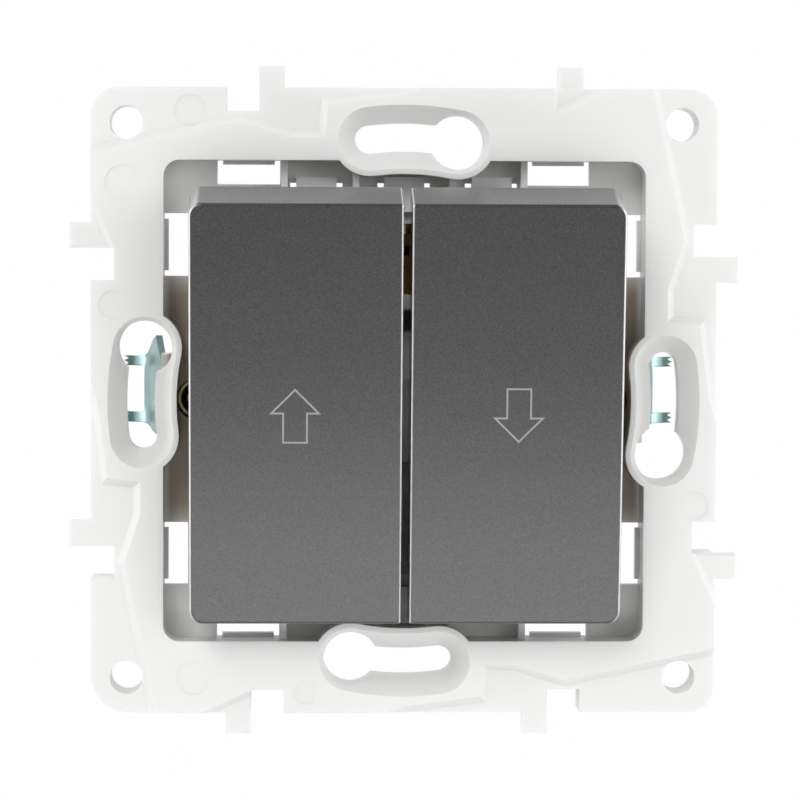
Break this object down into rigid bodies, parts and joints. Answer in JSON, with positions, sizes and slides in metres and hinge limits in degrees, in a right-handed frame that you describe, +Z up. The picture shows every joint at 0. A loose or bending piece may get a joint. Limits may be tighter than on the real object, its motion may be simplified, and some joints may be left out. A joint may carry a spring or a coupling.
{
  "type": "roller shutter switch",
  "caption": "Flush roller shutter switch without cover: white support frame with keyholes and edge keys, graphite up and down rocker keys, rear housing, expansion claws.",
  "frame": {"origin": "centre of the support frame on its back face, which lies on the wall", "axes": "+X to the right and +Z up as seen from the room, +Y into the wall"},
  "size_m": [0.0758, 0.0411, 0.0758],
  "materials": {
    "white_plastic": "moulded, satin to gloss",
    "housing_plastic": "moulded, matt, white",
    "graphite_lacquer": "graphite metallic lacquer",
    "inner_plastic": "moulded, matt",
    "spring_steel": "drawn wire",
    "silver_contact": "pressed silver alloy",
    "contact_brass": "stamped strip",
    "zinc_steel": "blue zinc plate",
    "screw_steel": "yellow zinc plate"
  },
  "bodies": {
    "root": {"support_frame": "white_plastic", "mechanism_base": "housing_plastic", "rear_cover": "housing_plastic", "up_fixed_contact": "silver_contact", "down_fixed_contact": "silver_contact", "common_terminal": "contact_brass", "up_terminal": "contact_brass", "down_terminal": "contact_brass", "terminal_clamps": "contact_brass", "terminal_screws": "screw_steel", "interlock_pin": "spring_steel"},
    "up_switch": {"up_key": "graphite_lacquer", "up_rocker": "inner_plastic", "up_plunger": "inner_plastic", "up_plunger_spring": "spring_steel"},
    "up_contact": {"up_contact_lever": "contact_brass", "up_lever_contact": "silver_contact"},
    "down_switch": {"down_key": "graphite_lacquer", "down_rocker": "inner_plastic", "down_plunger": "inner_plastic", "down_plunger_spring": "spring_steel"},
    "down_contact": {"down_contact_lever": "contact_brass", "down_lever_contact": "silver_contact"},
    "interlock": {"interlock_lever": "inner_plastic"},
    "left_screw": {"left_claw_screw": "screw_steel"},
    "left_claw_arm": {"left_claw": "zinc_steel"},
    "left_nut": {"left_claw_nut": "zinc_steel"},
    "right_screw": {"right_claw_screw": "screw_steel"},
    "right_claw_arm": {"right_claw": "zinc_steel"},
    "right_nut": {"right_claw_nut": "zinc_steel"}
  },
  "joints": [
    {"name": "up_key_rock", "type": "hinge", "parent": "root", "child": "up_switch", "pos_m": [0, -0.0048, 0], "axis": [-1, 0, 0], "range_deg": [0, 14.8]},
    {"name": "down_key_rock", "type": "hinge", "parent": "root", "child": "down_switch", "pos_m": [0, -0.0048, 0], "axis": [-1, 0, 0], "range_deg": [0, 14.8]},
    {"name": "up_contact_throw", "type": "hinge", "parent": "root", "child": "up_contact", "pos_m": [0, 0.0096, 0], "axis": [1, 0, 0], "range_deg": [0, 10]},
    {"name": "down_contact_throw", "type": "hinge", "parent": "root", "child": "down_contact", "pos_m": [0, 0.0096, 0], "axis": [1, 0, 0], "range_deg": [0, 10]},
    {"name": "interlock_swing", "type": "hinge", "parent": "root", "child": "interlock", "pos_m": [0, 0.0027, 0.009], "axis": [0, 0, -1], "range_deg": [-3, 3]},
    {"name": "left_nut_travel", "type": "slide", "parent": "root", "child": "left_nut", "axis": [0, -1, 0], "range_m": [-0.00552, 0.00103]},
    {"name": "left_claw_screw_turn", "type": "hinge", "parent": "root", "child": "left_screw", "pos_m": [-0.0236, 0.002, 0], "axis": [0, 1, 0], "range_deg": [-3972, 745]},
    {"name": "left_claw_swing", "type": "hinge", "parent": "root", "child": "left_claw_arm", "pos_m": [-0.0264, 0.0052, 0], "axis": [0, 0, 1], "range_deg": [-16.05, 3.05]},
    {"name": "right_nut_travel", "type": "slide", "parent": "root", "child": "right_nut", "axis": [0, -1, 0], "range_m": [-0.00552, 0.00103]},
    {"name": "right_claw_screw_turn", "type": "hinge", "parent": "root", "child": "right_screw", "pos_m": [0.0236, 0.002, 0], "axis": [0, 1, 0], "range_deg": [-3972, 745]},
    {"name": "right_claw_swing", "type": "hinge", "parent": "root", "child": "right_claw_arm", "pos_m": [0.0264, 0.0052, 0], "axis": [0, 0, -1], "range_deg": [-16.05, 3.05]}
  ],
  "couplings": [
    {"joint": "up_contact_throw", "follows": "up_key_rock", "ratio": 0.67568},
    {"joint": "down_contact_throw", "follows": "down_key_rock", "ratio": 0.67568},
    {"joint": "interlock_swing", "follows": "up_key_rock", "ratio": 0.2027},
    {"joint": "left_claw_screw_turn", "follows": "left_nut_travel", "rad_per_m": 12566},
    {"joint": "left_claw_swing", "follows": "left_nut_travel", "rad_per_m": 50.628},
    {"joint": "right_claw_screw_turn", "follows": "right_nut_travel", "rad_per_m": 12566},
    {"joint": "right_claw_swing", "follows": "right_nut_travel", "rad_per_m": 50.628}
  ]
}
